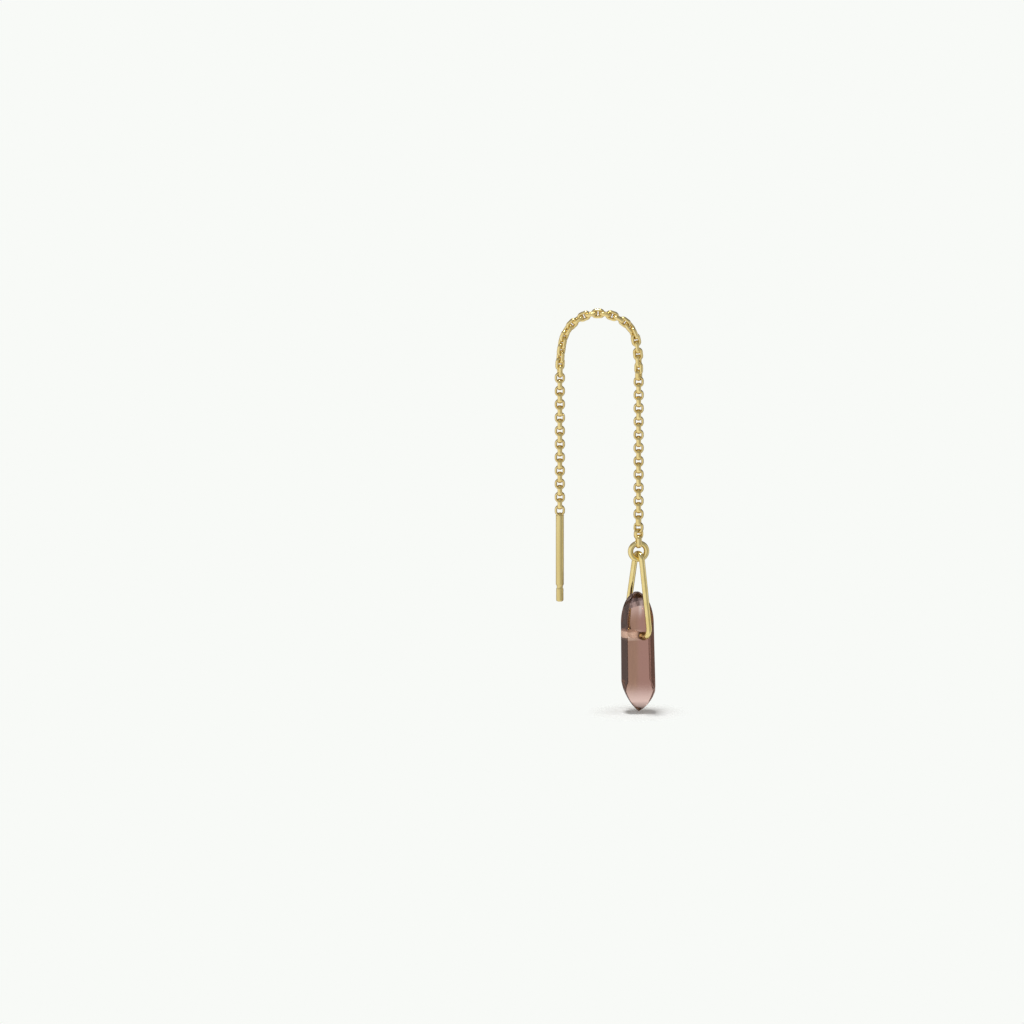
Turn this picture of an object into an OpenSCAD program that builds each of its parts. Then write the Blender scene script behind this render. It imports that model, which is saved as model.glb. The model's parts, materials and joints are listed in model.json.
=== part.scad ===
// Threader earring: a fine trace chain bent over the ear, with a thread bar soldered to its
// back end and a jump ring at its front end. The jump ring carries a triangular wire frame, and
// a double-pointed crystal is threaded on the frame's crossbar.
//
// Millimetres. The origin is the middle of the chain's top link, where the chain lies in the
// pierced ear. +Z is up, +X points to the front strand and -Y to the viewer.

/* [Chain] */
// Thickness of the wire of a chain link
link_wire = 0.26; // [0.22:0.01:0.28]
// Width of the hole in a chain link
link_hole_w = 0.78; // [0.74:0.01:0.9]
// Clear gap between two links that hold each other where the chain is pulled tight
link_gap = 0.14; // [0.1:0.01:0.16]
// Extra gap between two links in the straight strands
strand_slack = 0.06; // [0:0.01:0.08]
// Clear space in a link between the two links that it holds
link_play = 0.12; // [0.1:0.01:0.3]
// Links from the top link to the end of the bend, on the back side
back_arch_links = 11; // [8:1:16]
// Links from the top link to the end of the bend, on the front side
front_arch_links = 11; // [8:1:16]
// Links in the straight back strand, above the link that is soldered to the bar
back_strand_links = 20; // [12:1:40]
// Links in the straight front strand, above the link that holds the jump ring
front_strand_links = 25; // [12:1:40]

/* [Thread bar] */
// Diameter of the bar
bar_d = 1; // [0.8:0.05:1.2]
// Length of the bar, from its top face to its rounded end
bar_l = 11; // [8:0.5:20]
// Depth that the soldered link is sunk into the bar's top
solder_depth = 0.22; // [0.15:0.01:0.25]
// Step in radius from the bar down to the end piece below its groove
tip_step = 0.04; // [0:0.01:0.06]
// Length of the end piece below the groove
tip_l = 1.55; // [1:0.05:2.5]
// Rounding of the end piece's lower edge
tip_round = 0.24; // [0.1:0.02:0.32]
// Width of the groove
groove_w = 0.6; // [0.3:0.05:1]
// Depth of the round-bottomed groove below the bar's surface
groove_depth = 0.12; // [0.08:0.01:0.2]

/* [Jump ring] */
// Thickness of the jump ring's wire
ring_wire = 0.6; // [0.45:0.05:0.7]
// Clear space in the jump ring between the link and the wire frame
ring_play = 0.41; // [0.3:0.01:1]
// Gap between the jump ring and what it touches
ring_gap = 0.08; // [0.06:0.01:0.12]
// Turn of the jump ring about the vertical, with its front side away from the viewer
ring_turn = 12; // [0:1:20]

/* [Wire frame] */
// Thickness of the frame's wire
frame_wire = 0.62; // [0.5:0.02:0.7]
// Outer height of the frame
frame_h = 10.85; // [9:0.05:14]
// Clear space on each side between the crystal's full width and the frame's widest place
side_gap = 0.66; // [0.5:0.01:1]
// Outer radius of the frame's top bend
frame_top_r = 1.25; // [1.15:0.05:1.5]
// Outer radius of the frame's two lower bends
frame_low_r = 1.4; // [1.2:0.05:1.5]
// Step in radius from the frame's wire down to its crossbar, which the crystal hangs on
crossbar_step = 0.03; // [0.02:0.01:0.06]
// Depth that each end of the crossbar is sunk into a low bend
crossbar_lap = 0.1; // [0.05:0.01:0.15]
// Turn of the frame about the vertical, with its front side towards the viewer
frame_turn = 62; // [55:1:90]

/* [Crystal] */
// Length of the crystal from tip to tip
crystal_l = 15.2; // [12:0.1:18]
// Width of the crystal across two opposite edges
crystal_w = 4.1; // [3.4:0.1:5]
// Angle that each of the two wide faces takes up around the crystal
wide_face_angle = 87; // [60:1:100]
// Turn of the crystal about its own length, from the drill hole to the edge of a wide face
edge_turn = 22; // [0:1:44]
// Length of the upper point
upper_point_l = 4; // [3:0.1:4.6]
// Length of the lower point
lower_point_l = 4; // [3:0.1:6]
// Distance of the drill hole below the upper tip
hole_drop = 5.5; // [5.2:0.1:6]
// Gap around the wire in the drill hole
hole_gap = 0.08; // [0.05:0.01:0.12]

/* [Hidden] */
$fn = 64;

// Bend of the chain from level at its top link to straight down.
// Columns: share of that side's arch links, share of the quarter turn.
BACK_BEND = [[0, 0], [0.64, 0.89], [1, 1]];
FRONT_BEND = [[0, 0], [0.36, 0.41], [0.64, 0.88], [1, 1]];

// Twist of the chain about its own line, on top of the quarter turn from link to link.
// Columns: share of that side's arch links, degrees.
BACK_TWIST = [[0.15, 0], [0.35, 18], [0.55, 42], [0.8, 42], [1.1, 0]];
FRONT_TWIST = [[0.27, 0], [0.73, 90], [0.82, 90], [1, 130], [1.18, 90]];

// Twist of the last front links, which turns the last link square to the jump ring.
// Columns: links before the last one, share of the twist.
END_TWIST = [[0, 1], [1, 0.65], [2, 0.33], [3, 0.1], [4, 0]];

// Facet rows of the crystal's two points, from the tip to the prism.
// Columns: share of the point's length, share of half the crystal's width.
UPPER_SHARES = [[0, 0.12], [0.1, 0.4], [0.3, 0.68], [0.62, 0.89], [1, 0.97]];
LOWER_SHARES = [[0, 0.04], [0.2, 0.39], [0.5, 0.73], [0.77, 0.92], [1, 1]];

// A link's hole is as long as two wires, their gaps and the space between them.
slack_gap = link_gap + strand_slack;
link_hole_l = 2 * (link_wire + slack_gap) + link_play;
tight_step = link_hole_l - link_gap;
slack_step = link_hole_l - slack_gap;

back_links = back_arch_links + back_strand_links;
front_links = front_arch_links + front_strand_links;

// The link that holds the jump ring also holds the chain's last link above it.
ring_link_hole_l = slack_gap + link_wire + ring_wire + 2 * ring_gap;
ring_link_hole_w = max(link_hole_w, ring_wire + 2 * ring_gap);

// The jump ring's hole holds the link's wire and the frame's wire.
ring_hole_d = link_wire + frame_wire + 2 * ring_gap + ring_play;
ring_bend_r = (ring_hole_d + ring_wire) / 2;

back_end = walk(back_links, back_arch_links, BACK_BEND);
front_end = walk(front_links, front_arch_links, FRONT_BEND);

bar_link_z = back_end.y - slack_step / 2;
bar_top_z = bar_link_z - link_hole_l / 2 - link_wire + solder_depth;
bar_x = -back_end.x;

pendant_x = front_end.x;
ring_link_z = front_end.y + slack_gap / 2 - ring_link_hole_l / 2;
ring_top_wire_z = ring_link_z - ring_link_hole_l / 2 + ring_gap + ring_wire / 2;
ring_z = ring_top_wire_z - ring_bend_r;
ring_low_wire_z = ring_z - ring_bend_r;

frame_w = crystal_w + 2 * (side_gap + frame_wire);
low_bend_x = frame_w / 2 - frame_low_r;
frame_top_z = ring_low_wire_z + ring_wire / 2 + ring_gap + frame_wire;
crossbar_z = frame_top_z - frame_h + frame_wire / 2;
hole_r = frame_wire / 2 + hole_gap;

crystal_top_z = crossbar_z + hole_drop;

// Slope of link k below level: it follows the bend table and then hangs straight down.
function slope(k, arch_links, bend) = 90 * lookup(min(1, k / arch_links), bend);

// Length of the chain's line in link k
function step(k, arch_links) = k > arch_links ? slack_step : tight_step;

// Way along link k, as [outwards, upwards]
function way(k, arch_links, bend) =
    step(k, arch_links) * [cos(slope(k, arch_links, bend)), -sin(slope(k, arch_links, bend))];

// Lower end of link k's stretch of the chain's line, from the top link outwards
function walk(k, arch_links, bend) =
    k == 0 ? [tight_step / 2, 0] : walk(k - 1, arch_links, bend) + way(k, arch_links, bend);

function middle(k, arch_links, bend) =
    walk(k - 1, arch_links, bend) + way(k, arch_links, bend) / 2;

// Neighbours stand square to each other, and the twist comes on top.
function roll(k, arch_links, twist) = 90 * k + lookup(k / arch_links, twist);

// A half turn of round wire in the XZ plane, around the side that faces +X
module half_turn(bend_r, wire) {
    rotate([90, 0, 0]) rotate([0, 0, -90]) rotate_extrude(angle = 180)
        translate([bend_r, 0]) circle(d = wire);
}

// A closed link of round wire in the XZ plane, long along X
module link(hole_l, hole_w, wire) {
    bend_r = (hole_w + wire) / 2;
    side_l = hole_l - hole_w;
    for (end = [0, 180])
        rotate([0, end, 0]) translate([side_l / 2, 0, 0]) {
            half_turn(bend_r, wire);
            translate([-side_l, 0, bend_r]) rotate([0, 90, 0]) cylinder(d = wire, h = side_l);
        }
}

// One side of the chain, below the top link. The side is 1 for the front and -1 for the back.
module chain_side(side, links, arch_links, bend, twist, end_twist) {
    for (k = [1 : links]) {
        at = middle(k, arch_links, bend);
        turn = roll(k, arch_links, twist) + end_twist * lookup(links + 1 - k, END_TWIST);
        translate([side * at.x, 0, at.y])
            rotate([turn, side * slope(k, arch_links, bend), 0])
                link(link_hole_l, link_hole_w, link_wire);
    }
}

// Twist that the last front link still needs to stand square to the jump ring
function missing_twist() =
    let (end_roll = roll(front_links + 1, front_arch_links, FRONT_TWIST))
        90 - ring_turn - end_roll % 180;

module chain() color("gold") {
    link(link_hole_l, link_hole_w, link_wire);
    chain_side(-1, back_links, back_arch_links, BACK_BEND, BACK_TWIST, 0);
    chain_side(1, front_links, front_arch_links, FRONT_BEND, FRONT_TWIST, missing_twist());
    translate([pendant_x, 0, ring_link_z]) rotate([90 - ring_turn, 90, 0])
        link(ring_link_hole_l, ring_link_hole_w, link_wire);
}

// Outline of the bar and its end piece, from the axis outwards, with the rounded lower edge
module bar_outline() {
    tip_r = bar_d / 2 - tip_step;
    groove_y = tip_l + groove_w / 2;
    groove_r = (groove_w ^ 2 / 4 + groove_depth ^ 2) / (2 * groove_depth);
    difference() {
        union() {
            translate([0, groove_y]) square([bar_d / 2, bar_l - groove_y]);
            translate([0, tip_round]) square([tip_r, groove_y - tip_round]);
        }
        translate([bar_d / 2 - groove_depth + groove_r, groove_y]) circle(r = groove_r);
    }
    square([tip_r - tip_round, tip_round]);
    intersection() {
        translate([tip_r - tip_round, tip_round]) circle(r = tip_round);
        square([tip_r, tip_round]);
    }
}

module thread_bar() color("gold") {
    translate([bar_x, 0, bar_top_z - bar_l]) rotate_extrude() bar_outline();
    translate([bar_x, 0, bar_link_z])
        rotate([roll(back_links + 1, back_arch_links, BACK_TWIST), 90, 0])
            link(link_hole_l, link_hole_w, link_wire);
}

module jump_ring() color("gold") {
    translate([pendant_x, 0, ring_z]) rotate([90, 0, ring_turn]) rotate_extrude()
        translate([ring_bend_r, 0]) circle(d = ring_wire);
}

// An arc of the frame's wire in the XZ plane, from +X towards +Z
module frame_bend(bend_r, turn) {
    rotate([90, 0, 0]) rotate_extrude(angle = turn) translate([bend_r, 0]) circle(d = frame_wire);
}

// One side of the frame, from the middle of the top bend to the end of the low bend. Each
// stretch of wire starts where the last one ends. The origin is the crossbar's middle.
module frame_side() {
    top_r = frame_top_r - frame_wire / 2;
    low_r = frame_low_r - frame_wire / 2;
    span = [low_bend_x, frame_h - frame_wire - top_r - low_r];
    lean = atan2(span.x, span.y) + asin((low_r - top_r) / norm(span));
    leg_l = sqrt(norm(span) ^ 2 - (low_r - top_r) ^ 2);
    intersection() {
        translate([0, 0, span.y + low_r]) rotate([0, -lean, 0]) {
            frame_bend(top_r, 100 - lean);
            translate([top_r, 0, 0]) rotate([180, 0, 0]) {
                cylinder(d = frame_wire, h = leg_l);
                translate([-low_r, 0, leg_l]) frame_bend(low_r, 90 + lean);
            }
        }
        translate([0, -frame_wire, -frame_wire])
            cube([frame_w, 2 * frame_wire, frame_h + frame_wire]);
    }
}

module crossbar() {
    bar_end = low_bend_x + crossbar_lap;
    translate([-bar_end, 0, 0]) rotate([0, 90, 0])
        cylinder(d = frame_wire - 2 * crossbar_step, h = 2 * bar_end);
}

module wire_frame() color("gold") {
    translate([pendant_x, 0, crossbar_z]) rotate([0, 0, -frame_turn]) {
        for (side = [0, 180]) rotate([0, 0, side]) frame_side();
        crossbar();
    }
}

// Height and half width of each row of corners, from the lower tip to the upper one
function crystal_rows() = concat(
    [for (row = LOWER_SHARES) [crystal_top_z - crystal_l + row.x * lower_point_l, row.y * crystal_w / 2]],
    [for (i = [len(UPPER_SHARES) - 1 : -1 : 0])
        [crystal_top_z - UPPER_SHARES[i].x * upper_point_l, UPPER_SHARES[i].y * crystal_w / 2]]);

// Directions of the six corners from the drill hole. Opposite faces are parallel.
function corner_turns() =
    let (narrow_face_angle = (180 - wide_face_angle) / 2)
        [for (half = [0, 180]) for (corner = [0 : 2]) half + edge_turn + corner * narrow_face_angle];

module crystal_body() {
    rows = crystal_rows();
    corners = [for (row = rows) for (turn = corner_turns())
        [row.y * cos(turn), row.y * sin(turn), row.x]];
    bands = [for (i = [0 : len(rows) - 2]) for (side = [0 : 5])
        let (next = (side + 1) % 6)
            [6 * i + side, 6 * i + 6 + side, 6 * i + 6 + next, 6 * i + next]];
    top = 6 * (len(rows) - 1);
    ends = [[for (side = [0 : 5]) side], [for (side = [5 : -1 : 0]) top + side]];
    polyhedron(corners, concat(bands, ends));
}

module crystal() {
    color("rosybrown") translate([pendant_x, 0, 0]) rotate([0, 0, -frame_turn]) difference() {
        crystal_body();
        translate([-crystal_w, 0, crossbar_z]) rotate([0, 90, 0])
            cylinder(r = hole_r, h = 2 * crystal_w);
    }
}

chain();
thread_bar();
jump_ring();
wire_frame();
crystal();
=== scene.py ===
"""Threader earring: the finish of its chain, thread bar, jump ring, wire frame and crystal.

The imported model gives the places. Sizes are in millimetres, and the meshes are in metres.
"""
import json
import math

import bmesh
import bpy
from mathutils import Euler, Matrix, Vector


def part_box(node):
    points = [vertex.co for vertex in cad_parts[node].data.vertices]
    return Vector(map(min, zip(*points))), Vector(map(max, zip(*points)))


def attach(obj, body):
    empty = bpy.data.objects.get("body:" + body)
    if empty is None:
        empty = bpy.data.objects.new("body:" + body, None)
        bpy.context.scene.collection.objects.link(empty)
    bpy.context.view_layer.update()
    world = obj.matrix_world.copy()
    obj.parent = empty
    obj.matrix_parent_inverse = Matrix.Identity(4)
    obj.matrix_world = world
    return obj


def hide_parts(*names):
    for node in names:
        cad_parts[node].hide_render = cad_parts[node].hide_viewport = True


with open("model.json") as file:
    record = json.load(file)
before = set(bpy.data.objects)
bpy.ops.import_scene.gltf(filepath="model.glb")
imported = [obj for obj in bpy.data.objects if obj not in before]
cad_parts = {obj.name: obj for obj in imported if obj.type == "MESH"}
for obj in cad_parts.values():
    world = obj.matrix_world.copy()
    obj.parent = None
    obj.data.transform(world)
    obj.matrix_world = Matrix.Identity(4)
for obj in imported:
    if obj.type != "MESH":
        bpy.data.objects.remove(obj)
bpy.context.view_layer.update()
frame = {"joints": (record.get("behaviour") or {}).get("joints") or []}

MM = 0.001
QUARTER_TURN = math.pi / 2
# Points nearer than this are merged
MERGE_GAP = 0.0001

# Chain, laid out as in the part's source
TIGHT_STEP = 0.9
SLACK_STEP = 0.84
SLACK_GAP = 0.2
BACK_ARCH_LINKS = 11
FRONT_ARCH_LINKS = 11
BACK_STRAND_LINKS = 20
FRONT_STRAND_LINKS = 25
RING_LINK_HOLE = 1.22
# Bend from level to straight down. Columns: share of the arch's links, share of the quarter turn
BACK_BEND = [(0, 0), (0.64, 0.89), (1, 1)]
FRONT_BEND = [(0, 0), (0.36, 0.41), (0.64, 0.88), (1, 1)]
# Twist about the chain's own line. Columns: share of the arch's links, degrees
BACK_TWIST = [(0.15, 0), (0.35, 18), (0.55, 42), (0.8, 42), (1.1, 0)]
FRONT_TWIST = [(0.27, 0), (0.73, 90), (0.82, 90), (1, 130), (1.18, 90)]
# Twist that turns the last link square to the ring. Columns: links before it, share of the twist
END_TWIST = [(0, 1), (1, 0.65), (2, 0.33), (3, 0.1), (4, 0)]

# Finished links, of wire with an oval section
# Columns: thickness of the wire, width of the wire, length of the hole, width of the hole
ARCH_LINK = (0.4, 0.5, 0.925, 0.44)
STRAND_LINK = (0.31, 0.6, 0.855, 0.68)
RING_LINK = (0.3, 0.62, 1.14, 0.74)
LINK_STEPS = 46
LINK_SIDES = 14

# Thread bar
BAR_RADIUS = 0.5
BAR_SIDES = 64
TIP_RADIUS = 0.46
TIP_LENGTH = 1.55
TIP_ROUND = 0.24
TIP_STEPS = 8
GROOVE_WIDTH = 0.6
GROOVE_DEPTH = 0.12
GROOVE_STEPS = 10
# How far the groove's round bottom ends inside each of its edges
GROOVE_INSET = 0.05
# Eased edges of the groove. Columns: step in from the surface, height above the edge
GROOVE_LOW_EDGE = [(0, -0.03), (0.008, 0.01)]
GROOVE_HIGH_EDGE = [(0.012, 0.01), (0, 0.05)]
# Rounding of the bar's top edge, up to the degrees where the solder starts
TOP_ROUND = 0.09
TOP_ROUND_END = 70
TOP_STEPS = 4
# From the middle of the soldered link up to the top of the node, and down to the bar's top face
SOLDERED_LINK_RISE = 0.78
BAR_TOP_DROP = 0.56
SOLDER_HEIGHT = 0.3
# Mound of solder. Columns: radius, share of its height
SOLDER_MOUND = [(0.41, 0.12), (0.37, 0.4), (0.27, 0.72), (0.14, 0.94), (0, 1)]

# Jump ring and wire frame, each with the source's wire and the plumper finished one
RING_WIRE = 0.6
RING_FINISHED_WIRE = 0.68
RING_STEPS = 96
FRAME_WIRE = 0.62
FRAME_FINISHED_WIRE = 0.73
FRAME_WIDTH = 6.66
FRAME_TOP_RADIUS = 1.25
FRAME_LOW_RADIUS = 1.4
TOP_BEND_STEPS = 14
LEG_STEPS = 8
LOW_BEND_STEPS = 22
WIRE_SIDES = 32
# Rise of the frame's top bend, which leaves room for the plumper wires
FRAME_TOP_RISE = 0.05
CROSSBAR_WIRE = 0.56
CROSSBAR_TAPER = 0.06
# How far the lower end of the frame hangs aside along the crossbar, and the stone with it
HANG_ASIDE = 0.24

# Crystal
STONE_SIDES = 6
CRYSTAL_WIDTH = 4.32
CRYSTAL_LEAN = math.tan(math.radians(1))
CRYSTAL_DROP = 0.08
UPPER_POINT = 4
LOWER_POINT = 4
# Degrees round the stone that a wide face takes, and from the frame's plane to where one ends
WIDE_FACE_ANGLE = 87
EDGE_TURN = 22
HOLE_RADIUS = 0.44
HOLE_MOUTH_RADIUS = 0.6
DRILL_SIDES = 48
# Rows of the points, from the tip. Columns: share of the point's length, share of half the width
UPPER_SHARES = [(0, 0.12), (0.1, 0.4), (0.3, 0.68), (0.62, 0.89), (1, 0.97)]
LOWER_SHARES = [(0, 0.04), (0.2, 0.39), (0.5, 0.73), (0.77, 0.92), (1, 1)]
# Steps of the smooth curve from each of these rows to the next
ROW_STEPS = 6
# The lower point's right side is fuller: its width is the one at this many times the height
RIGHT_FULLNESS = 1.3
# Below the shoulder the wide faces spread to the outline. Columns: share of the lower point's
# height, share of the full spread
SPREAD = [(0, 1), (0.68, 1), (1, 0)]
# Place of the wide corners at full spread, across and in depth, as shares of half the width
SPREAD_ACROSS = 0.93
SPREAD_DEPTH = 0.56
# Edges that turn by more than these degrees are eased, by this width
EASED_TURN = 25
EDGE_EASE = 0.09
EDGE_STEPS = 3
# Painted shade on the faces beside the wide ones and on the outline. Columns: degrees from the wide
# faces' direction, painted shade
SIDE_PAINTED_SHADE = [(12, 0), (50, 1)]
OUTLINE_PAINTED_SHADE = [(84, 0), (88, 1)]
# Columns: height above the lower tip, share of the painted side shade
LOW_PAINTED_SHADE = [(0.5, 0.6), (4.2, 1)]
# A face is part of the drill hole's wall when its corners are nearer than this to the drill's
# axis, and when less than this share of its normal lies along the axis
WALL_REACH = HOLE_MOUTH_RADIUS * 1.1
WALL_SLOPE = 0.2

# Handling marks. Scales are per metre
HAIRLINE_SCALE = 9000
HAIRLINE_DETAIL = 3
HAIRLINE_SHARE = 0.4
SMUDGE_SCALE = 900
SMUDGE_DETAIL = 2
SMUDGE_EDGES = (0.35, 0.65)
DENT_DEPTH = 0.02

# Gold plate: two tones, least and most roughness, scale of the hairlines, share of that scale
# along x, y and z, and the strength of the dents. A share below 1 draws the hairlines out
CHAIN_GOLD = {
    "tones": ((0.88, 0.72, 0.34), (0.82, 0.64, 0.26)),
    "roughness": (0.16, 0.3),
    "hairlines": 9000,
    "shares": (1, 1, 1),
    "dent": 0.1,
}
SATIN_GOLD = {
    "tones": ((0.79, 0.65, 0.3), (0.73, 0.58, 0.24)),
    "roughness": (0.34, 0.46),
    "hairlines": 14000,
    "shares": (1, 1, 0.15),
    "dent": 0.25,
}
POLISHED_GOLD = {
    "tones": ((0.88, 0.73, 0.34), (0.82, 0.66, 0.27)),
    "roughness": (0.1, 0.22),
    "hairlines": 7000,
    "shares": (1, 1, 1),
    "dent": 0.06,
}

# Smoky crystal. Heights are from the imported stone's upper tip, and places across are from the
# stone's middle. A fade runs from the first value, where there is none of it, to the second,
# where it is full
STREAK_SCALE = 2.6
# Share of that scale along x, y and z, which draws the streaks out upwards
STREAK_SHARES = (1, 1, 0.1)
STREAK_DETAIL = 3
STREAK_EDGES = (0.35, 0.65)
WARM_ROSE = (0.36, 0.205, 0.14)
DEEP_ROSE = (0.31, 0.175, 0.125)
COOL_ROSE = (0.36, 0.195, 0.16)
COOL_FADE = (-0.4, 0.4)
CAP_DARK = (0.045, 0.028, 0.026)
CAP_PALE = (0.3, 0.21, 0.2)
CAP_FADE = (-1.72, -1.6)
# The cap's lower edge is highest at this place across, and falls away on both sides
CAP_MIDDLE = 0.8
CAP_BOW = 0.12
HAZE_COLOUR = (0.58, 0.4, 0.35)
HAZE_FADE = (-3.6, -1.8)
HAZE_SHARE = 0.8
VEIN_COLOUR = (0.75, 0.62, 0.58)
VEIN_MIDDLE = 0.3
VEIN_FADE = (0.3, 0.05)
# Painted glow near the lower tip, which stands in for the light that the lower facets let through
LOW_GLOW_COLOUR = (0.78, 0.56, 0.5)
LOW_GLOW_FADE = (-11.3, -14.2)
# Colour of the painted shade on the faces beside the wide ones and on the outline
PAINTED_SHADE_COLOUR = (0.15, 0.065, 0.045)
# Painted light of the lit drill hole seen through the stone: the stone's colour is paler by the
# height from the hole's middle and by the place across
HOLE_LIGHT_COLOUR = (0.78, 0.6, 0.5)
HOLE_HEIGHT_FADE = (0.62, 0.42)
HOLE_ACROSS_FADE = (0.9, -0.9)
STONE_ROUGHNESS = (0.03, 0.07)
STONE_TINT = (0.8, 0.58, 0.52, 1)
STONE_IOR = 1.54

# Ground wall of the drill hole, with a weak painted glow that stands in for the light that it
# scatters
GROUND_TONES = ((0.93, 0.74, 0.62), (0.82, 0.62, 0.5))
GROUND_ROUGHNESS = (0.6, 0.85)
GROUND_HAIRLINES = 20000
GROUND_DENT = 0.4
GROUND_PAINTED_GLOW = 0.42
# Painted shade towards the hole's mouth on the right: a darker colour and a dimmer painted glow
MOUTH_SHADE_COLOUR = (0.25, 0.13, 0.06)
MOUTH_PAINTED_GLOW = (0.12, 0.06, 0.02)
MOUTH_SHADE_FADE = (-0.2, 0.3)

# Camera and floor
CAMERA_TARGET = Vector((-10.74, 0, -25.17)) * MM
CAMERA_DISTANCE = 3000
CAMERA_TILT = math.radians(10)
# Nearest and farthest that the camera sees, and the width of its view at the target
CAMERA_RANGE = (10, 50000)
VIEW_WIDTH = 128
FLOOR_COLOUR = (0.985, 0.995, 0.975, 1)
FLOOR_GAP = 0.25
FLOOR_RADIUS = 7
FLOOR_SIDES = 96
# Radius where the floor starts to fade
FLOOR_FADE = 2.5

# Lamp and room. Places in the room are shares of a direction's length along x, y and z
LAMP_POWER = 1.75
LAMP_SPREAD = math.radians(11)
LAMP_TURN = (math.radians(3), math.radians(-4.5), 0)
BACKDROP = (0.939, 0.956, 0.930)
# Between these heights the room's light goes from the first strength to the second
SKY_HEIGHTS = (0.25, 0.6)
SKY_LIGHTS = (0.95, 0.4)
# A dark patch in front on the right, by how near a direction is to its middle
DARK_WAY = Vector((0.7, -0.7, -0.1)).normalized()
DARK_NEARNESS = (0.55, 0.95)
DARK_LIGHTS = (1, 0.5)
# Two dark warm curtains behind
CURTAIN_BEHIND = (0.2, 0.4)
CURTAIN_INNER_EDGE = (0.12, 0.3)
CURTAIN_OUTER_EDGE = (0.76, 0.92)
# The left curtain's share of the light goes over into the right one's between these places
CURTAIN_MIDDLE = (-0.2, 0.2)
CURTAIN_SHARES = (0.6, 0.85)
CURTAIN_TINT = (1, 0.76, 0.62)

# Places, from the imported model
HINGES = {joint["name"]: joint for joint in frame["joints"]}
PENDANT_X = HINGES["pendant_swing"]["pos_m"][0] / MM
CROSSBAR_Z = HINGES["crystal_swing"]["pos_m"][2] / MM
RING_TURN = math.atan2(HINGES["pendant_swing"]["axis"][1], HINGES["pendant_swing"]["axis"][0])
FRAME_TURN = math.atan2(HINGES["crystal_swing"]["axis"][1], HINGES["crystal_swing"]["axis"][0])
STONE_X = PENDANT_X - HANG_ASIDE * math.cos(FRAME_TURN)
STONE_Y = -HANG_ASIDE * math.sin(FRAME_TURN)

# Kinds of socket
FLOAT = "NodeSocketFloat"
WHOLE = "NodeSocketInt"
VECTOR = "NodeSocketVector"
SHAPE = "NodeSocketGeometry"
FINISH = "NodeSocketMaterial"


def between(x, table):
    """The value at x in a table of (x, value) rows, level beyond its ends."""
    if x <= table[0][0]:
        return table[0][1]
    for (x0, v0), (x1, v1) in zip(table, table[1:]):
        if x <= x1:
            return v0 + (v1 - v0) * (x - x0) / (x1 - x0)
    return table[-1][1]


def in_mm(corners):
    """Corners in millimetres."""
    return [corner / MM for corner in corners]


# Nodes
def fill(tree, node, inputs):
    """Puts values or links in a node's inputs."""
    for socket, value in inputs.items():
        if isinstance(value, bpy.types.NodeSocket):
            tree.links.new(value, node.inputs[socket])
        else:
            node.inputs[socket].default_value = value


def add(tree, kind, inputs=None, **settings):
    """A new node with its settings, and with values or links in its inputs."""
    node = tree.nodes.new(kind)
    for name, value in settings.items():
        setattr(node, name, value)
    fill(tree, node, inputs or {})
    return node


def result(tree, kind, inputs=None, **settings):
    """First output of a new node."""
    return add(tree, kind, inputs, **settings).outputs[0]


def calc(tree, operation, *values):
    """Result of a Math node."""
    return result(tree, "ShaderNodeMath", dict(enumerate(values)), operation=operation)


def split(tree, vector):
    """Outputs X, Y and Z of a vector."""
    return add(tree, "ShaderNodeSeparateXYZ", {"Vector": vector}).outputs


def ramp(tree, value, first, last, low=0, high=1, shape="SMOOTHSTEP"):
    """Low to high, as a value goes from first to last."""
    inputs = {"Value": value, "From Min": first, "From Max": last, "To Min": low, "To Max": high}
    return result(tree, "ShaderNodeMapRange", inputs, interpolation_type=shape)


def blend(tree, share, first, second):
    """A colour between two, each of them a colour or a socket."""
    ends = [(*end, 1) if isinstance(end, tuple) else end for end in (first, second)]
    node = add(tree, "ShaderNodeMix", {0: share, 6: ends[0], 7: ends[1]}, data_type="RGBA")
    return node.outputs[2]


def noise(tree, vector, scale, detail):
    """A soft random pattern, about 0.5 on average."""
    return result(
        tree, "ShaderNodeTexNoise", {"Vector": vector, "Scale": scale, "Detail": detail}
    )


def new_group(kind, name, inputs, outputs):
    """An empty node group with these sockets. A socket is (name, kind) or (name, kind, default)."""
    tree = bpy.data.node_groups.new(name, kind)
    for side, sockets in (("INPUT", inputs), ("OUTPUT", outputs)):
        for label, socket_kind, *default in sockets:
            socket = tree.interface.new_socket(label, in_out=side, socket_type=socket_kind)
            if default:
                socket.default_value = default[0]
    return tree


# Geometry Nodes trees of the links and the bent wires
def end_tree(tree, shape, material):
    """Last nodes of a tree: plain faces with the finish on them."""
    smooth = result(tree, "GeometryNodeSetShadeSmooth", {"Geometry": shape})
    real = result(tree, "GeometryNodeRealizeInstances", {"Geometry": smooth})
    finished = result(
        tree, "GeometryNodeSetMaterial", {"Geometry": real, "Material": material}
    )
    add(tree, "NodeGroupOutput", {"Geometry": finished})


def oval_path(tree, given):
    """Centre line of a link's wire: a circle whose halves are moved apart, set upright."""
    bend = calc(tree, "MULTIPLY", calc(tree, "ADD", given["Hole Width"], given["Wire"]), 0.5)
    circle = result(
        tree, "GeometryNodeCurvePrimitiveCircle", {"Resolution": given["Steps"], "Radius": bend}
    )
    straight = calc(tree, "SUBTRACT", given["Hole Length"], given["Hole Width"])
    position = result(tree, "GeometryNodeInputPosition")
    half = calc(tree, "SIGN", split(tree, position)["X"])
    shift = calc(tree, "MULTIPLY", half, calc(tree, "MULTIPLY", straight, 0.5))
    offset = result(tree, "ShaderNodeCombineXYZ", {"X": shift})
    oval = result(tree, "GeometryNodeSetPosition", {"Geometry": circle, "Offset": offset})
    upright = Euler((QUARTER_TURN, 0, 0))
    return result(tree, "GeometryNodeTransform", {"Geometry": oval, "Rotation": upright})


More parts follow.
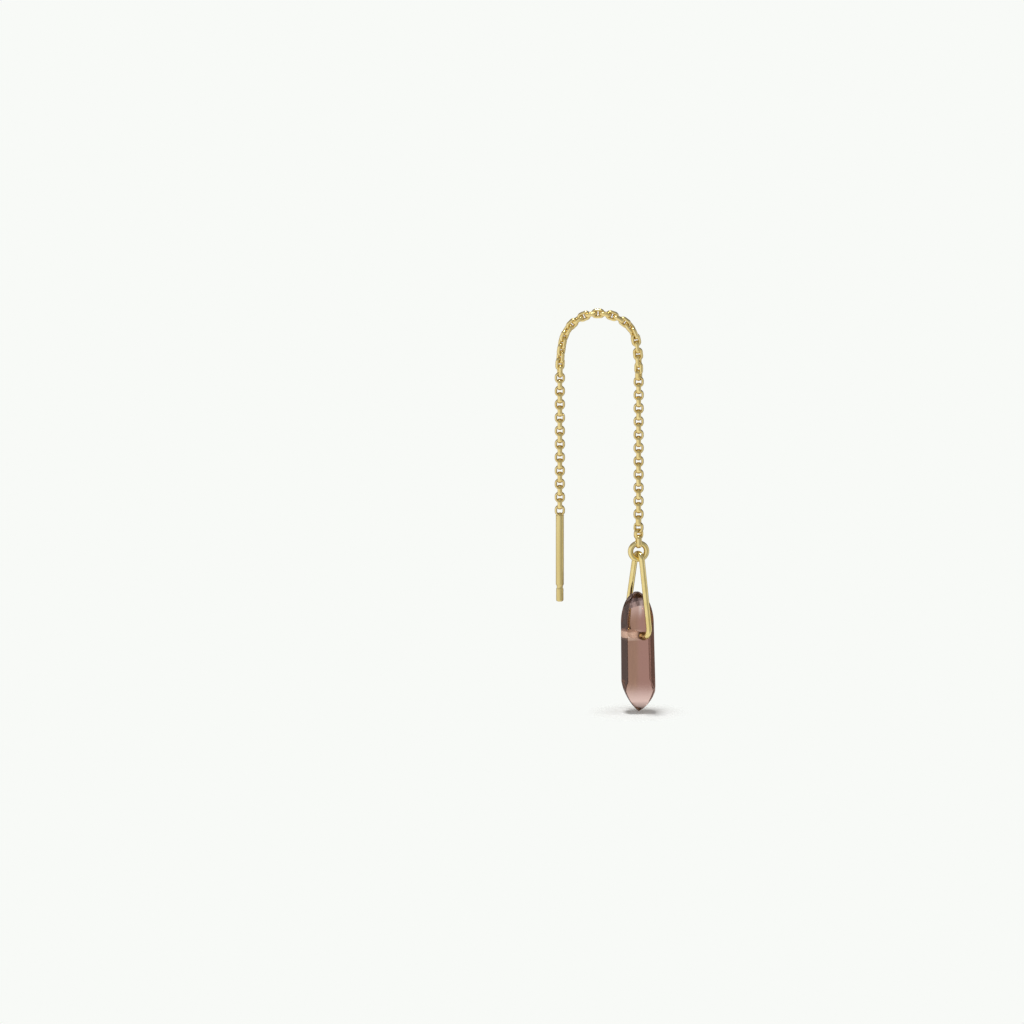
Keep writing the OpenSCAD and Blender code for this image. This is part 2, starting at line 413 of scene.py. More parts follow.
def oval_section(tree, given):
    """Section of a link's wire, as thick and as wide as the link's sizes say."""
    circle = result(
        tree, "GeometryNodeCurvePrimitiveCircle", {"Resolution": given["Sides"], "Radius": 0.5}
    )
    size = result(tree, "ShaderNodeCombineXYZ", {"X": given["Wire"], "Y": given["Wire Width"]})
    return result(tree, "GeometryNodeTransform", {"Geometry": circle, "Scale": size})


def link_tree():
    """Tree that sets a closed link on every point, turned by the point's turn."""
    sizes = [("Wire", FLOAT), ("Wire Width", FLOAT), ("Hole Length", FLOAT), ("Hole Width", FLOAT)]
    counts = [("Steps", WHOLE), ("Sides", WHOLE)]
    inputs = [("Geometry", SHAPE)] + sizes + counts + [("Material", FINISH)]
    tree = new_group("GeometryNodeTree", "Wire links", inputs, [("Geometry", SHAPE)])
    given = add(tree, "NodeGroupInput").outputs
    wire = result(
        tree,
        "GeometryNodeCurveToMesh",
        {"Curve": oval_path(tree, given), "Profile Curve": oval_section(tree, given)},
    )
    turn = result(
        tree, "GeometryNodeInputNamedAttribute", {"Name": "turn"}, data_type="FLOAT_VECTOR"
    )
    rotation = result(tree, "FunctionNodeEulerToRotation", {"Euler": turn})
    placed = result(
        tree,
        "GeometryNodeInstanceOnPoints",
        {"Points": given["Geometry"], "Instance": wire, "Rotation": rotation},
    )
    end_tree(tree, placed, given["Material"])
    return tree


def wire_tree():
    """Tree that sweeps a round section along a path of edges, as thick as each point's radius."""
    inputs = [("Geometry", SHAPE), ("Sides", WHOLE), ("Material", FINISH)]
    tree = new_group("GeometryNodeTree", "Bent wire", inputs, [("Geometry", SHAPE)])
    given = add(tree, "NodeGroupInput").outputs
    path = result(tree, "GeometryNodeMeshToCurve", {"Mesh": given["Geometry"]})
    section = result(
        tree, "GeometryNodeCurvePrimitiveCircle", {"Resolution": given["Sides"], "Radius": 1}
    )
    radius = result(
        tree, "GeometryNodeInputNamedAttribute", {"Name": "wire_radius"}, data_type="FLOAT"
    )
    wire = result(
        tree,
        "GeometryNodeCurveToMesh",
        {"Curve": path, "Profile Curve": section, "Scale": radius},
    )
    end_tree(tree, wire, given["Material"])
    return tree


def grow(base, tree, values):
    """Plain mesh that a Geometry Nodes tree makes from a base object, which is removed."""
    modifier = base.modifiers.new(tree.name, "NODES")
    modifier.node_group = tree
    for item in tree.interface.items_tree:
        if item.in_out == "INPUT" and item.name in values:
            modifier[item.identifier] = values[item.name]
    depsgraph = bpy.context.evaluated_depsgraph_get()
    mesh = bpy.data.meshes.new_from_object(base.evaluated_get(depsgraph))
    base.modifiers.remove(modifier)
    bpy.data.objects.remove(base)
    return mesh


# Meshes
def show(name, mesh):
    """A named object for a mesh that is already in its place."""
    mesh.name = name
    thing = bpy.data.objects.new(name, mesh)
    bpy.context.scene.collection.objects.link(thing)
    return thing


def plain_mesh(name, points, edges=(), faces=()):
    """A mesh from points in millimetres."""
    mesh = bpy.data.meshes.new(name)
    mesh.from_pydata([Vector(point) * MM for point in points], edges, faces)
    return mesh


def tidy(mesh):
    """Merges double points, turns every face outwards and shades it smooth."""
    work = bmesh.new()
    work.from_mesh(mesh)
    bmesh.ops.remove_doubles(work, verts=work.verts, dist=MERGE_GAP * MM)
    bmesh.ops.recalc_face_normals(work, faces=work.faces)
    for face in work.faces:
        face.smooth = True
    work.to_mesh(mesh)
    work.free()
    return mesh


def join(meshes):
    """One mesh with the faces of several, which share one finish."""
    work = bmesh.new()
    for mesh in meshes:
        work.from_mesh(mesh)
    for face in work.faces:
        face.material_index = 0
    joined = bpy.data.meshes.new("joined")
    work.to_mesh(joined)
    work.free()
    joined.materials.append(meshes[0].materials[-1])
    return joined


def spin(outline, centre, sides):
    """A closed round mesh from an outline of (radius, height) that starts and ends on the axis."""
    points = [(centre[0], centre[1], centre[2] + outline[0][1])]
    for radius, height in outline[1:-1]:
        for side in range(sides):
            turn = 2 * math.pi * side / sides
            x = centre[0] + radius * math.cos(turn)
            y = centre[1] + radius * math.sin(turn)
            points.append((x, y, centre[2] + height))
    points.append((centre[0], centre[1], centre[2] + outline[-1][1]))
    last = len(points) - 1
    rows = len(outline) - 2
    faces = []
    for side in range(sides):
        after = (side + 1) % sides
        faces.append((0, 1 + after, 1 + side))
        for row in range(rows - 1):
            low = 1 + row * sides
            high = low + sides
            faces.append((low + side, low + after, high + after, high + side))
        top = 1 + (rows - 1) * sides
        faces.append((top + side, top + after, last))
    return tidy(plain_mesh("spun", points, faces=faces))


def arc(centre, radius, first, final, steps):
    """Points on an arc, from one angle to another in degrees."""
    points = []
    for step in range(steps + 1):
        turn = math.radians(first + (final - first) * step / steps)
        points.append((centre[0] + radius * math.cos(turn), centre[1] + radius * math.sin(turn)))
    return points


# Chain
def slope(number, arch_links, bend):
    """Angle below level of the link with this number, counted from the top link."""
    return math.radians(90 * between(min(1, number / arch_links), bend))


def walk(links, arch_links, bend):
    """Ends of the links' stretches along one side of the chain, as (outwards, upwards)."""
    points = [(TIGHT_STEP / 2, 0)]
    for number in range(1, links + 1):
        step = SLACK_STEP if number > arch_links else TIGHT_STEP
        way = slope(number, arch_links, bend)
        out, up = points[-1]
        points.append((out + step * math.cos(way), up - step * math.sin(way)))
    return points


def side_places(side, links, arch_links, bend, twist, missing_twist):
    """Middle and turn of each link on one side of the chain."""
    ends = walk(links, arch_links, bend)
    places = []
    for number in range(1, links + 1):
        middle = [(a + b) / 2 for a, b in zip(ends[number - 1], ends[number])]
        roll = 90 * number + between(number / arch_links, twist)
        roll += missing_twist * between(links + 1 - number, END_TWIST)
        turn = (math.radians(roll), side * slope(number, arch_links, bend), 0)
        places.append(((side * middle[0], 0, middle[1]), turn))
    return places


def link_points(places):
    """A base object with one point per link, which carries the link's turn."""
    mesh = plain_mesh("link_places", [place for place, turn in places])
    turns = mesh.attributes.new("turn", "FLOAT_VECTOR", "POINT")
    for entry, (place, turn) in zip(turns.data, places):
        entry.vector = turn
    return show("link_places", mesh)


def links_mesh(tree, places, link, material):
    """Links of one size in their places."""
    names = ("Wire", "Wire Width", "Hole Length", "Hole Width")
    sizes = {name: size * MM for name, size in zip(names, link)}
    counts = {"Steps": LINK_STEPS, "Sides": LINK_SIDES, "Material": material}
    return tidy(grow(link_points(places), tree, {**sizes, **counts}))


def make_chain(tree, material):
    """The chain's links, from the link above the thread bar to the one that holds the ring."""
    back_links = BACK_ARCH_LINKS + BACK_STRAND_LINKS
    front_links = FRONT_ARCH_LINKS + FRONT_STRAND_LINKS
    end_roll = 90 * (front_links + 1) + between((front_links + 1) / FRONT_ARCH_LINKS, FRONT_TWIST)
    missing = 90 - math.degrees(RING_TURN) - end_roll % 180
    back = side_places(-1, back_links, BACK_ARCH_LINKS, BACK_BEND, BACK_TWIST, 0)
    front = side_places(1, front_links, FRONT_ARCH_LINKS, FRONT_BEND, FRONT_TWIST, missing)
    arch = [((0, 0, 0), (0, 0, 0))] + back[:BACK_ARCH_LINKS] + front[:FRONT_ARCH_LINKS]
    strands = back[BACK_ARCH_LINKS:] + front[FRONT_ARCH_LINKS:]
    front_end = walk(front_links, FRONT_ARCH_LINKS, FRONT_BEND)[-1]
    ring_link_z = front_end[1] + SLACK_GAP / 2 - RING_LINK_HOLE / 2
    ring_link = [((front_end[0], 0, ring_link_z), (QUARTER_TURN - RING_TURN, QUARTER_TURN, 0))]
    meshes = [
        links_mesh(tree, arch, ARCH_LINK, material),
        links_mesh(tree, strands, STRAND_LINK, material),
        links_mesh(tree, ring_link, RING_LINK, material),
    ]
    chain = show("chain_links", join(meshes))
    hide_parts("chain")
    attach(chain, "hanger")


# Thread bar
def groove_outline():
    """Outline of the groove, a shallow arc between two eased edges."""
    groove_end = TIP_LENGTH + GROOVE_WIDTH
    radius = (GROOVE_WIDTH ** 2 / 4 + GROOVE_DEPTH ** 2) / (2 * GROOVE_DEPTH)
    centre = (BAR_RADIUS - GROOVE_DEPTH + radius, TIP_LENGTH + GROOVE_WIDTH / 2)
    half = math.degrees(math.asin((GROOVE_WIDTH / 2 - GROOVE_INSET) / radius))
    outline = [(TIP_RADIUS - step, TIP_LENGTH + height) for step, height in GROOVE_LOW_EDGE]
    outline += arc(centre, radius, 180 + half, 180 - half, GROOVE_STEPS)
    outline += [(BAR_RADIUS - step, groove_end + height) for step, height in GROOVE_HIGH_EDGE]
    return outline


def bar_outline(length):
    """Half outline of the bar from its lower end up, with eased edges and a mound of solder."""
    top_centre = (BAR_RADIUS - TOP_ROUND, length - TOP_ROUND)
    outline = [(0, 0)]
    outline += arc((TIP_RADIUS - TIP_ROUND, TIP_ROUND), TIP_ROUND, -90, 0, TIP_STEPS)
    outline += groove_outline()
    outline += [(BAR_RADIUS, length / 2)]
    outline += arc(top_centre, TOP_ROUND, 0, TOP_ROUND_END, TOP_STEPS)
    outline += [(radius, length + share * SOLDER_HEIGHT) for radius, share in SOLDER_MOUND]
    return outline


def make_thread_bar(tree, satin, bright):
    """The bar with its groove and the last link, which is soldered on."""
    low, high = in_mm(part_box("thread_bar"))
    bar_x = (low.x + high.x) / 2
    link_z = high.z - SOLDERED_LINK_RISE
    length = link_z - BAR_TOP_DROP - low.z
    bar = show("thread_bar_satin", spin(bar_outline(length), (bar_x, 0, low.z), BAR_SIDES))
    bar.data.materials.append(satin)
    roll = 90 * (BACK_ARCH_LINKS + BACK_STRAND_LINKS + 1)
    place = [((bar_x, 0, link_z), (math.radians(roll), QUARTER_TURN, 0))]
    link = show("soldered_link", links_mesh(tree, place, STRAND_LINK, bright))
    for piece, slot in ((bar, "satin_gold"), (link, "chain_gold")):
        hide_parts("thread_bar")
        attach(piece, "hanger")


# Jump ring and wire frame
def wire_path(name, rows):
    """A closed path of edges from rows of (x, y, z, wire radius)."""
    count = len(rows)
    edges = [(i, (i + 1) % count) for i in range(count)]
    mesh = plain_mesh(name, [row[:3] for row in rows], edges)
    radii = mesh.attributes.new("wire_radius", "FLOAT", "POINT")
    for entry, row in zip(radii.data, rows):
        entry.value = row[3] * MM
    return show(name, mesh)


def bent_wire(tree, path, material):
    """Mesh of the wire along a path."""
    return tidy(grow(path, tree, {"Sides": WIRE_SIDES, "Material": material}))


def standing(points, turn, x, z):
    """Points of an upright plane, turned about the vertical, in their place."""
    cosine = math.cos(turn)
    sine = math.sin(turn)
    return [(x + across * cosine, across * sine, z + up) for across, up in points]


def make_jump_ring(tree, material):
    """The round ring between the chain and the wire frame."""
    low, high = in_mm(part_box("jump_ring"))
    bend_radius = (high.z - low.z - RING_WIRE) / 2
    circle = arc((0, 0), bend_radius, 0, 360, RING_STEPS)[:-1]
    points = standing(circle, RING_TURN, PENDANT_X, (low.z + high.z) / 2)
    path = wire_path("ring_path", [(*point, RING_FINISHED_WIRE / 2) for point in points])
    ring = show("jump_ring_wire", bent_wire(tree, path, material))
    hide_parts("jump_ring")
    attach(ring, "hanger")


def frame_side(height):
    """Right half of the frame's centre line, from the top bend to the start of the crossbar."""
    top_radius = FRAME_TOP_RADIUS - FRAME_WIRE / 2
    low_radius = FRAME_LOW_RADIUS - FRAME_WIRE / 2
    low_x = FRAME_WIDTH / 2 - FRAME_LOW_RADIUS
    rise = height - FRAME_WIRE - top_radius - low_radius
    splay = math.asin((low_radius - top_radius) / math.hypot(low_x, rise))
    lean = math.degrees(math.atan2(low_x, rise) + splay)
    points = arc((0, rise + low_radius), top_radius, 90, lean, TOP_BEND_STEPS)
    low_bend = arc((low_x, low_radius), low_radius, lean, -90, LOW_BEND_STEPS)
    bend_end = points[-1]
    for step in range(1, LEG_STEPS):
        points.append([a + (b - a) * step / LEG_STEPS for a, b in zip(bend_end, low_bend[0])])
    return points + low_bend


def frame_rows(height):
    """The frame's whole centre line, as (across, up, wire radius)."""
    centre_line = frame_side(height)
    top = centre_line[0][1]
    right = []
    for x, z in centre_line:
        # The rise is felt near the top bend alone
        rise = FRAME_TOP_RISE * max(0, z / top) ** 4
        right.append((x, z + rise, FRAME_FINISHED_WIRE / 2))
    low_x = right[-1][0]
    right += [(x, 0, CROSSBAR_WIRE / 2) for x in (low_x - CROSSBAR_TAPER, low_x / 2)]
    left = [(-x, z, radius) for x, z, radius in reversed(right)]
    rows = right + [(0, 0, CROSSBAR_WIRE / 2)] + left[:-1]
    return [(x - HANG_ASIDE * (1 - z / top), z, radius) for x, z, radius in rows]


def make_wire_frame(tree, material):
    """The frame's one bent wire, which runs through the crystal."""
    low, high = in_mm(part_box("wire_frame"))
    rows = frame_rows(high.z - low.z)
    points = standing([row[:2] for row in rows], FRAME_TURN, PENDANT_X, CROSSBAR_Z)
    path = wire_path("frame_path", [(*point, row[2]) for point, row in zip(points, rows)])
    bail = show("wire_frame_wire", bent_wire(tree, path, material))
    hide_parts("wire_frame")
    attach(bail, "bail")


# Crystal
def eased(table, steps):
    """Rows between a table's rows, on a smooth curve through them that ends level."""
    slopes = [(b[1] - a[1]) / (b[0] - a[0]) for a, b in zip(table, table[1:])]
    tangents = [slopes[0]] + [(a + b) / 2 for a, b in zip(slopes, slopes[1:])] + [0]
    rows = []
    for i in range(len(table) - 1):
        (x0, v0), (x1, v1) = table[i], table[i + 1]
        width = x1 - x0
        for step in range(steps):
            t = step / steps
            v = v0 * (2 * t ** 3 - 3 * t * t + 1) + v1 * (3 * t * t - 2 * t ** 3)
            start_pull = tangents[i] * (t ** 3 - 2 * t * t + t)
            end_pull = tangents[i + 1] * (t ** 3 - t * t)
            rows.append((x0 + width * t, v + width * (start_pull + end_pull)))
    return rows + [table[-1]]


def stone_rows(bottom, top):
    """Rows of the stone from its lower tip up, as (height, left and right half width)."""
    half = CRYSTAL_WIDTH / 2
    lower = eased(LOWER_SHARES, ROW_STEPS)
    rows = []
    for share, width in lower:
        right = between(share * RIGHT_FULLNESS, lower)
        rows.append((bottom + share * LOWER_POINT, half * width, half * right))
    for share, width in reversed(eased(UPPER_SHARES, ROW_STEPS)):
        rows.append((top - share * UPPER_POINT, half * width, half * width))
    return rows


def row_corners(height, left, right, bottom):
    """The six corners of one row of the stone."""
    narrow = math.radians((180 - WIDE_FACE_ANGLE) / 2)
    middle = math.radians(EDGE_TURN) + narrow + FRAME_TURN
    spread = between((height - bottom) / LOWER_POINT, SPREAD)
    across = math.cos(narrow) + (SPREAD_ACROSS - math.cos(narrow)) * spread
    deep = math.sin(narrow) + (SPREAD_DEPTH - math.sin(narrow)) * spread
    lean = CRYSTAL_LEAN * (height - CROSSBAR_Z)
    corners = []
    for reach in (right, -left):
        for u, v in ((across, -deep), (1, 0), (across, deep)):
            x = reach * (u * math.cos(middle) - v * math.sin(middle))
            y = reach * (u * math.sin(middle) + v * math.cos(middle))
            corners.append((STONE_X + x - lean, STONE_Y + y, height))
    return corners


def ease_edges(mesh):
    """Rounds the edges between the stone's faces, and turns every face outwards."""
    work = bmesh.new()
    work.from_mesh(mesh)
    bmesh.ops.recalc_face_normals(work, faces=work.faces)
    sharp = [edge for edge in work.edges if edge.calc_face_angle() > math.radians(EASED_TURN)]
    bmesh.ops.bevel(
        work, geom=sharp, offset=EDGE_EASE * MM, segments=EDGE_STEPS, profile=0.5, affect="EDGES"
    )
    for face in work.faces:
        face.smooth = True
    work.to_mesh(mesh)
    work.free()
    return mesh


def crystal_mesh(bottom, top):
    """The cut stone before it is drilled, with eased edges."""
    rows = stone_rows(bottom, top)
    points = [corner for row in rows for corner in row_corners(*row, bottom)]
    last = STONE_SIDES * (len(rows) - 1)
    faces = []
    for low in range(0, last, STONE_SIDES):
        high = low + STONE_SIDES
        for side in range(STONE_SIDES):
            after = (side + 1) % STONE_SIDES
            faces.append((low + side, low + after, high + after, high + side))
    faces.append(tuple(reversed(range(STONE_SIDES))))
    faces.append(tuple(range(last, last + STONE_SIDES)))
    return ease_edges(plain_mesh("crystal_body", points, faces=faces))


def drill_shape():
    """Double cone, narrowest in its middle, which reaches well past both mouths of the hole."""
    reach = CRYSTAL_WIDTH
    flare = HOLE_RADIUS + (HOLE_MOUTH_RADIUS - HOLE_RADIUS) * reach / (CRYSTAL_WIDTH / 2)
    outline = [(0, -reach), (flare, -reach), (HOLE_RADIUS, 0), (flare, reach), (0, reach)]
    mesh = spin(outline, (0, 0, 0), DRILL_SIDES)
    place = Matrix.Translation(Vector((PENDANT_X, 0, CROSSBAR_Z)) * MM)
    turn = Euler((0, QUARTER_TURN, FRAME_TURN)).to_matrix().to_4x4()
    mesh.transform(place @ turn)
    return show("drill", mesh)


def drilled(body):
    """The stone with its drill hole, on the frame's crossbar."""
    drill = drill_shape()
    cut = body.modifiers.new("hole", "BOOLEAN")
    cut.operation = "DIFFERENCE"
    cut.solver = "EXACT"
    cut.object = drill
    # The large faces rule the shading, so the facets look flat up to their eased edges
    facets = body.modifiers.new("facets", "WEIGHTED_NORMAL")
    facets.weight = 100
    facets.keep_sharp = True
    depsgraph = bpy.context.evaluated_depsgraph_get()
    mesh = bpy.data.meshes.new_from_object(body.evaluated_get(depsgraph))
    bpy.data.objects.remove(drill)
    bpy.data.objects.remove(body)
    return mesh


def mark_faces(mesh, bottom):
    """Puts the ground finish on the hole's wall, and painted shade on the faces beside the wide
    ones and on the outline.
    """
    wide = math.radians(180 - WIDE_FACE_ANGLE / 2 + EDGE_TURN) + FRAME_TURN
    wide_way = Vector((math.cos(wide), math.sin(wide), 0))
    drill_way = Vector((math.cos(FRAME_TURN), math.sin(FRAME_TURN), 0))
    drill_middle = Vector((PENDANT_X, 0, CROSSBAR_Z))
    shades = mesh.attributes.new("shade", "FLOAT", "FACE")
    for face, shade in zip(mesh.polygons, shades.data):
        corners = [mesh.vertices[i].co / MM - drill_middle for i in face.vertices]
        reach = max((corner - drill_way * corner.dot(drill_way)).length for corner in corners)
        wall = reach < WALL_REACH and abs(face.normal.dot(drill_way)) < WALL_SLOPE
        face.material_index = 1 if wall else 0
        level = Vector((face.normal.x, face.normal.y, 0))
        lean = math.degrees(math.acos(min(1, abs(level.normalized().dot(wide_way)))))
        height = face.center.z / MM - bottom
        # Painted shade: darkest on the faces beside the wide ones and on the outline, and lighter
        # near the lower tip
        side = between(lean, SIDE_PAINTED_SHADE) * between(height, LOW_PAINTED_SHADE)
        shade.value = max(side, between(lean, OUTLINE_PAINTED_SHADE))


def make_crystal(material, ground):
    """The drilled stone, with the ground finish in its hole."""
    low, high = in_mm(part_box("crystal"))
    body = show("crystal_body", crystal_mesh(low.z - CRYSTAL_DROP, high.z - CRYSTAL_DROP))
    stone = show("crystal_point", drilled(body))
    stone.data.materials.clear()
    stone.data.materials.append(material)
    stone.data.materials.append(ground)
    mark_faces(stone.data, low.z)
    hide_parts("crystal")
    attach(stone, "drop")


# Finishes
def new_material(name):
    """A material, its tree and its Principled BSDF."""
    material = bpy.data.materials.new(name)
    material.use_nodes = True
    return material, material.node_tree, material.node_tree.nodes["Principled BSDF"]


def object_place(tree):
    """Place on the piece, in metres."""
    return add(tree, "ShaderNodeTexCoord").outputs["Object"]


def handling_group():
    """Group for fine handling marks: hairlines and soft smudges, and the roughness they give."""
    inputs = [
        ("Vector", VECTOR),
        ("Hairline Scale", FLOAT, HAIRLINE_SCALE),
        ("Smudge Scale", FLOAT, SMUDGE_SCALE),
        ("Least Roughness", FLOAT, 0.1),
        ("Most Roughness", FLOAT, 0.3),
    ]
    outputs = [("Roughness", FLOAT), ("Smudges", FLOAT), ("Height", FLOAT)]
    tree = new_group("ShaderNodeTree", "Handling marks", inputs, outputs)
    given = add(tree, "NodeGroupInput").outputs
    hairlines = noise(tree, given["Vector"], given["Hairline Scale"], HAIRLINE_DETAIL)
    smudges = noise(tree, given["Vector"], given["Smudge Scale"], SMUDGE_DETAIL)
    soft = ramp(tree, smudges, *SMUDGE_EDGES, shape="LINEAR")
    hairline_part = calc(tree, "MULTIPLY", hairlines, HAIRLINE_SHARE)
    smudge_part = calc(tree, "MULTIPLY", soft, 1 - HAIRLINE_SHARE)
    mixed = calc(tree, "ADD", hairline_part, smudge_part)
    least, most = given["Least Roughness"], given["Most Roughness"]
    rough = ramp(tree, mixed, 0, 1, least, most, shape="LINEAR")
    add(tree, "NodeGroupOutput", {"Roughness": rough, "Smudges": soft, "Height": hairlines})
    return tree


def wear(tree, marks, vector, roughness, hairlines):
    """The handling marks in a material, with its own values."""
    values = {
        "Vector": vector,
        "Hairline Scale": hairlines,
        "Least Roughness": roughness[0],
        "Most Roughness": roughness[1],
    }
    return add(tree, "ShaderNodeGroup", values, node_tree=marks).outputs


def dents(tree, height, strength):
    """Normals with the relief of the hairlines."""
    inputs = {"Height": height, "Strength": strength, "Distance": DENT_DEPTH * MM}
    return result(tree, "ShaderNodeBump", inputs)


def gold_material(name, marks, tones, roughness, hairlines, shares, dent):
    """Gold plate in two tones, with handling marks."""
    material, tree, shader = new_material(name)
    drawn = result(tree, "ShaderNodeMapping", {"Vector": object_place(tree), "Scale": shares})
    worn = wear(tree, marks, drawn, roughness, hairlines)
    surface = {
        "Base Color": blend(tree, worn["Smudges"], *tones),
        "Roughness": worn["Roughness"],
        "Normal": dents(tree, worn["Height"], dent),
        "Metallic": 1,
    }
    fill(tree, shader, surface)
    return material


def rose_colour(tree, parts, depth, streaked):
    """Rose glass with a haze and a pale vein below its cap, and a painted glow that makes it paler
    near its lower tip.
    """
    warm = blend(tree, streaked, WARM_ROSE, DEEP_ROSE)
    body = blend(tree, ramp(tree, parts["X"], *COOL_FADE), warm, COOL_ROSE)
    haze = calc(tree, "MULTIPLY", ramp(tree, depth, *HAZE_FADE), HAZE_SHARE)
    hazy = blend(tree, haze, body, HAZE_COLOUR)
    from_vein = calc(tree, "ABSOLUTE", calc(tree, "SUBTRACT", parts["X"], VEIN_MIDDLE))
    vein = calc(tree, "MULTIPLY", ramp(tree, from_vein, *VEIN_FADE), haze)
    veined = blend(tree, vein, hazy, VEIN_COLOUR)
    # Painted glow: paler near the lower tip
    return blend(tree, ramp(tree, parts["Z"], *LOW_GLOW_FADE), veined, LOW_GLOW_COLOUR)


def painted_hole_light(tree, parts, hole_z):
    """Share of the painted light of the drill hole in the stone's colour, where the hole is seen
    through the stone.
    """
    from_hole = calc(tree, "ABSOLUTE", calc(tree, "SUBTRACT", parts["Z"], hole_z))
    level = ramp(tree, from_hole, *HOLE_HEIGHT_FADE)
    return calc(tree, "MULTIPLY", level, ramp(tree, parts["X"], *HOLE_ACROSS_FADE))


def stone_colour(tree, place):
    """Colour through the stone, by the millimetres from its upper tip."""
    high = in_mm(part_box("crystal"))[1]
    tip = Vector((STONE_X, STONE_Y, high.z))
    scale = (1 / MM, 1 / MM, 1 / MM)
    local = result(
        tree, "ShaderNodeMapping", {"Vector": place, "Scale": scale, "Location": -tip}
    )
    parts = split(tree, local)
    drawn = result(tree, "ShaderNodeMapping", {"Vector": local, "Scale": STREAK_SHARES})
    streaked = ramp(tree, noise(tree, drawn, STREAK_SCALE, STREAK_DETAIL), *STREAK_EDGES)
    aside = calc(tree, "SUBTRACT", parts["X"], CAP_MIDDLE)
    bow = calc(tree, "MULTIPLY", calc(tree, "MULTIPLY", aside, aside), CAP_BOW)
    depth = calc(tree, "ADD", parts["Z"], bow)
    rose = rose_colour(tree, parts, depth, streaked)
    # Painted shade on the faces beside the wide ones and on the outline, read from the faces' shade
    # values
    shade = add(tree, "ShaderNodeAttribute", attribute_name="shade").outputs["Fac"]
    with_painted_shade = blend(tree, shade, rose, PAINTED_SHADE_COLOUR)
    # Painted light where the lit drill hole shows through the stone
    with_hole_light = blend(tree, painted_hole_light(tree, parts, CROSSBAR_Z - high.z), with_painted_shade, HOLE_LIGHT_COLOUR)
    smoke = blend(tree, streaked, CAP_DARK, CAP_PALE)
    return blend(tree, ramp(tree, depth, *CAP_FADE), with_hole_light, smoke)


def crystal_material(marks):
    """Smoky rose glass, dark and streaked under its upper tip, with a painted glow near its lower
    one, painted shade on its sides and outline, and the painted light of its drill hole.
    """
    material, tree, shader = new_material("smoky rose crystal")
    place = object_place(tree)
    surface = {
        "Base Color": stone_colour(tree, place),
        "Roughness": wear(tree, marks, place, STONE_ROUGHNESS, HAIRLINE_SCALE)["Roughness"],
        "Specular Tint": STONE_TINT,
        "IOR": STONE_IOR,
        "Transmission Weight": 1,
    }
    fill(tree, shader, surface)
    return material


def ground_material(marks):
    """The drill hole's wall, ground matt, with a weak painted glow, and painted shade towards the
    mouth on the right.
    """
    material, tree, shader = new_material("ground drill hole")
    place = object_place(tree)
    worn = wear(tree, marks, place, GROUND_ROUGHNESS, GROUND_HAIRLINES)
    pale = blend(tree, worn["Smudges"], *GROUND_TONES)
    # Painted shade towards the mouth on the right, in the colour and in the painted glow
    start, end = [(STONE_X + x) * MM for x in MOUTH_SHADE_FADE]
    mouth = ramp(tree, split(tree, place)["X"], start, end)
    surface = {
        "Base Color": blend(tree, mouth, pale, MOUTH_SHADE_COLOUR),
        "Roughness": worn["Roughness"],
        "Normal": dents(tree, worn["Height"], GROUND_DENT),
        # Painted glow of the wall, dimmer towards the mouth
        "Emission Color": blend(tree, mouth, pale, MOUTH_PAINTED_GLOW),
        "Emission Strength": GROUND_PAINTED_GLOW,
    }
    fill(tree, shader, surface)
    return material


def floor_material(level):
    """Matt and pale, and clear towards the floor's rim."""
    material, tree, shader = new_material("pale floor")
    middle = (-PENDANT_X * MM, 0, -level * MM)
    centred = result(
        tree, "ShaderNodeMapping", {"Vector": object_place(tree), "Location": middle}
    )
    away = add(tree, "ShaderNodeVectorMath", {0: centred}, operation="LENGTH").outputs["Value"]
    surface = {
        "Base Color": FLOOR_COLOUR,
        "Roughness": 1,
        "Specular IOR Level": 0,
        "Alpha": ramp(tree, away, FLOOR_FADE * MM, FLOOR_RADIUS * MM, 1, 0),
    }
    fill(tree, shader, surface)
    return material


# Stage
def make_camera():
    """A camera far off, which looks slightly down."""
    camera = bpy.data.objects.new("camera", bpy.data.cameras.new("camera"))
    bpy.context.scene.collection.objects.link(camera)
    back = Vector((0, -math.cos(CAMERA_TILT), math.sin(CAMERA_TILT)))
    camera.location = CAMERA_TARGET + back * (CAMERA_DISTANCE * MM)
    camera.rotation_euler = (-back).to_track_quat("-Z", "Y").to_euler()
    camera.data.angle = 2 * math.atan(VIEW_WIDTH / 2 / CAMERA_DISTANCE)
    camera.data.clip_start = CAMERA_RANGE[0] * MM
    camera.data.clip_end = CAMERA_RANGE[1] * MM
    bpy.context.scene.camera = camera


def make_floor():
    """A pale floor just below the crystal, which fades into the backdrop."""
    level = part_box("crystal")[0].z / MM - FLOOR_GAP
    rim = arc((PENDANT_X, 0), FLOOR_RADIUS, 0, 360, FLOOR_SIDES)[:-1]
    points = [(x, y, level) for x, y in rim]
    floor = show("floor", plain_mesh("floor", points, faces=[tuple(range(FLOOR_SIDES))]))
    floor.data.materials.append(floor_material(level))


def make_lamp():
    """A soft lamp high above, a little to the left and in front."""
    lamp = bpy.data.lights.new("soft lamp", "SUN")
    lamp.energy = LAMP_POWER
    lamp.angle = LAMP_SPREAD
    holder = bpy.data.objects.new("soft lamp", lamp)
    holder.rotation_euler = LAMP_TURN
    bpy.context.scene.collection.objects.link(holder)


def dark_patch(tree, way):
    """Share of the light that is left, the least of it in a patch in front on the right."""
    facing = add(
        tree, "ShaderNodeVectorMath", {0: way, 1: DARK_WAY}, operation="DOT_PRODUCT"
    ).outputs["Value"]
    return ramp(tree, facing, *DARK_NEARNESS, *DARK_LIGHTS)


